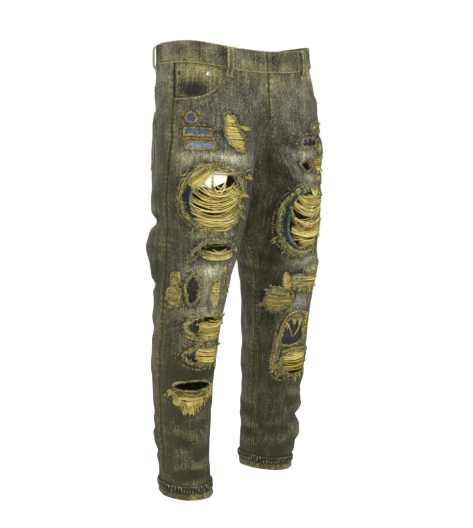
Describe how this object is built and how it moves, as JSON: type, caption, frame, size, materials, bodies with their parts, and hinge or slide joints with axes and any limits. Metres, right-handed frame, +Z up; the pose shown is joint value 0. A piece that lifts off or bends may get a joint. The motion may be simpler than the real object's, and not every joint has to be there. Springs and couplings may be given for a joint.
{
  "type": "ripped jeans",
  "caption": "Worn, heavily ripped five-pocket jeans, filled out as if worn, with backed and mended rips and turned-up cuffs; open at the waist and hems.",
  "frame": {"origin": "the middle of the waist opening, 13 mm below the top of the waistband at the side, where the wearer's waist holds the jeans up", "axes": "+Z up out of the waist, -Y the front, +X the wearer's left"},
  "size_m": [0.3907, 0.27, 0.9424],
  "materials": {
    "denim": "worn, dirty grey-olive washed denim twill",
    "denim_dark": "darker, less worn denim of the turned-up hem and backing patches",
    "denim_wrong_side": "pale yellowish wrong side of the denim",
    "patch_navy": "navy denim backing",
    "patch_blue": "blue cotton backing",
    "pocket_cotton": "off-white pocketing cotton",
    "copper": "aged copper",
    "gunmetal": "aged dark metal"
  },
  "bodies": {
    "root": {"front_right": "denim", "back_right": "denim", "yoke_right": "denim", "pocket_facing_right": "denim", "back_pocket_right": "denim", "cuff_right": "denim_wrong_side", "hem_band_right": "denim_dark", "belt_loop_front_right": "denim", "belt_loop_side_right": "denim", "rivet_mouth_front_right": "copper", "rivet_mouth_side_right": "copper", "front_left": "denim", "back_left": "denim", "yoke_left": "denim", "pocket_facing_left": "denim", "back_pocket_left": "denim", "cuff_left": "denim_wrong_side", "hem_band_left": "denim_dark", "belt_loop_front_left": "denim", "belt_loop_side_left": "denim", "rivet_mouth_front_left": "copper", "rivet_mouth_side_left": "copper", "waistband": "denim", "coin_pocket": "denim", "belt_loop_back": "denim", "pocket_bag_right": "pocket_cotton", "rivet_coin_outer": "copper", "rivet_coin_inner": "copper", "waist_button": "gunmetal", "patch_badge_right": "patch_blue", "patch_stripe_upper_right": "patch_blue", "patch_stripe_lower_right": "patch_blue", "patch_thigh_right": "patch_navy", "patch_oval_right": "denim_dark", "patch_shin_right": "patch_navy", "patch_hip_left": "patch_navy", "patch_pocket_left": "denim_dark", "patch_thigh_left": "patch_navy", "patch_knee_left": "denim_dark"}
  },
  "joints": []
}
